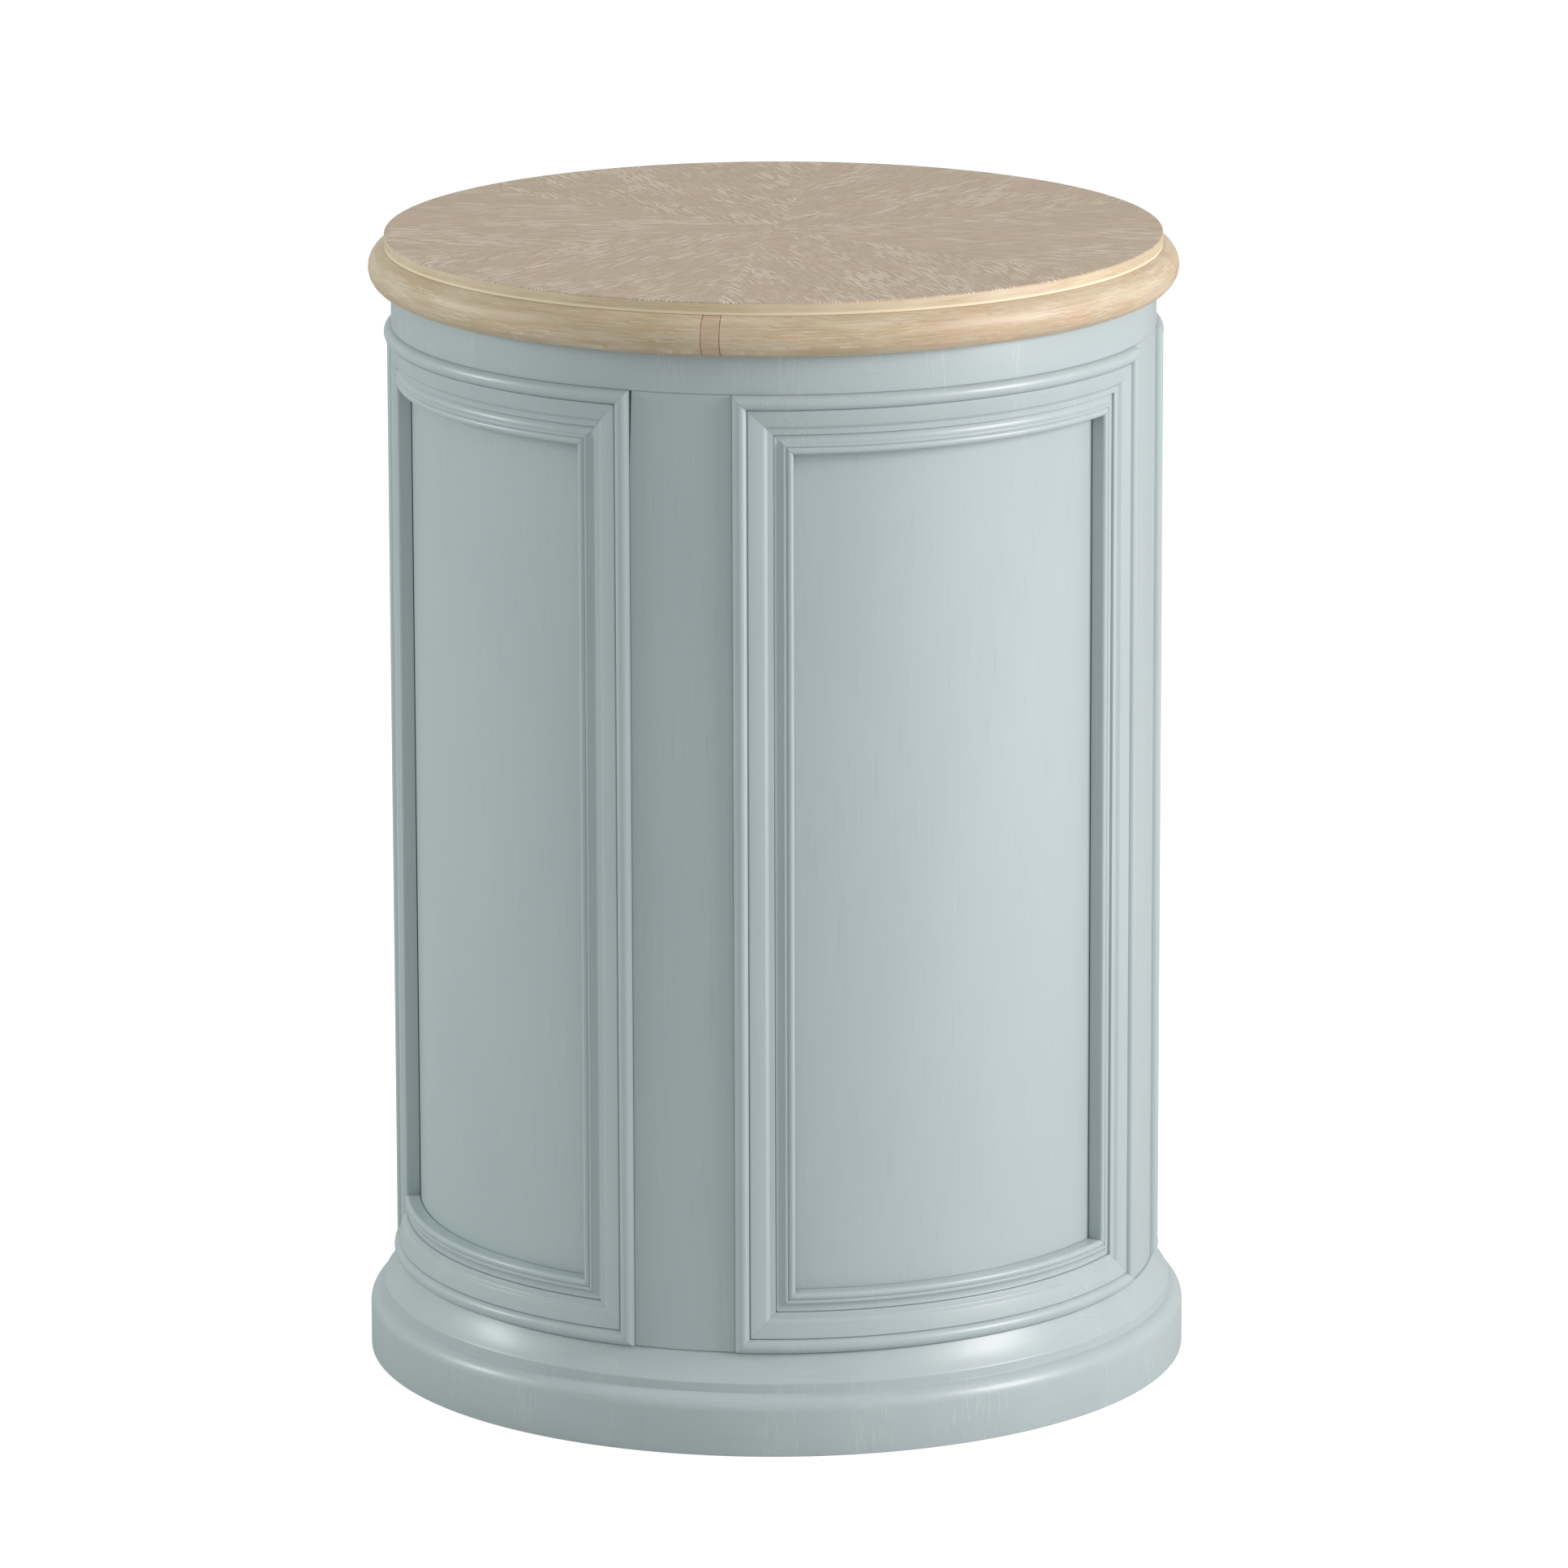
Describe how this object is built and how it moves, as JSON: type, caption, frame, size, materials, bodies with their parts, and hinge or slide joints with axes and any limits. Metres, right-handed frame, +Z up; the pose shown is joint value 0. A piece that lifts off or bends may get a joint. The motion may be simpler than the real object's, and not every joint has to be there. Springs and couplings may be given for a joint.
{
  "type": "drum side table",
  "caption": "Round closed drum side table: light oak top with a half-round rim, a painted drum with curved framed panels, and a turned plinth.",
  "frame": {"origin": "centre of the plinth's underside, on the floor", "axes": "+Z up, along the drum's axis; the front panel faces -Y and the other panels face +X, +Y and -X"},
  "size_m": [0.4572, 0.4572, 0.635],
  "materials": {
    "limed_oak_veneer": "limed open grain, matt",
    "oak_lipping": "satin, long grain",
    "oak_rim": "satin, long grain",
    "oak_key": "satin",
    "blue_grey_paint": "satin paint over open-grained wood",
    "core_board": "bare fibreboard",
    "plywood": "bare plywood",
    "screw_steel": "zinc plated"
  },
  "bodies": {
    "root": {"base_board": "plywood", "base_screws": "screw_steel", "former_lower": "plywood", "former_middle": "plywood", "former_upper": "plywood", "inner_leg_back_left": "blue_grey_paint", "inner_leg_back_right": "blue_grey_paint", "inner_leg_front_left": "blue_grey_paint", "inner_leg_front_right": "blue_grey_paint", "inner_leg_left_left": "blue_grey_paint", "inner_leg_left_right": "blue_grey_paint", "inner_leg_right_left": "blue_grey_paint", "inner_leg_right_right": "blue_grey_paint", "inner_rail_back_bottom": "blue_grey_paint", "inner_rail_back_top": "blue_grey_paint", "inner_rail_front_bottom": "blue_grey_paint", "inner_rail_front_top": "blue_grey_paint", "inner_rail_left_bottom": "blue_grey_paint", "inner_rail_left_top": "blue_grey_paint", "inner_rail_right_bottom": "blue_grey_paint", "inner_rail_right_top": "blue_grey_paint", "outer_leg_back_left": "blue_grey_paint", "outer_leg_back_right": "blue_grey_paint", "outer_leg_front_left": "blue_grey_paint", "outer_leg_front_right": "blue_grey_paint", "outer_leg_left_left": "blue_grey_paint", "outer_leg_left_right": "blue_grey_paint", "outer_leg_right_left": "blue_grey_paint", "outer_leg_right_right": "blue_grey_paint", "outer_rail_back_bottom": "blue_grey_paint", "outer_rail_back_top": "blue_grey_paint", "outer_rail_front_bottom": "blue_grey_paint", "outer_rail_front_top": "blue_grey_paint", "outer_rail_left_bottom": "blue_grey_paint", "outer_rail_left_top": "blue_grey_paint", "outer_rail_right_bottom": "blue_grey_paint", "outer_rail_right_top": "blue_grey_paint", "panel_back": "blue_grey_paint", "panel_front": "blue_grey_paint", "panel_left": "blue_grey_paint", "panel_right": "blue_grey_paint", "plinth_segment_1": "blue_grey_paint", "plinth_segment_2": "blue_grey_paint", "plinth_segment_3": "blue_grey_paint", "plinth_segment_4": "blue_grey_paint", "rim_keys": "oak_key", "rim_segment_1": "oak_rim", "rim_segment_2": "oak_rim", "rim_segment_3": "oak_rim", "rim_segment_4": "oak_rim", "stile_back_left": "blue_grey_paint", "stile_back_right": "blue_grey_paint", "stile_front_left": "blue_grey_paint", "stile_front_right": "blue_grey_paint", "top_board": "blue_grey_paint", "top_core": "core_board", "top_disc": "core_board", "top_lipping": "oak_lipping", "top_screws": "screw_steel", "top_veneer": "limed_oak_veneer"}
  },
  "joints": []
}
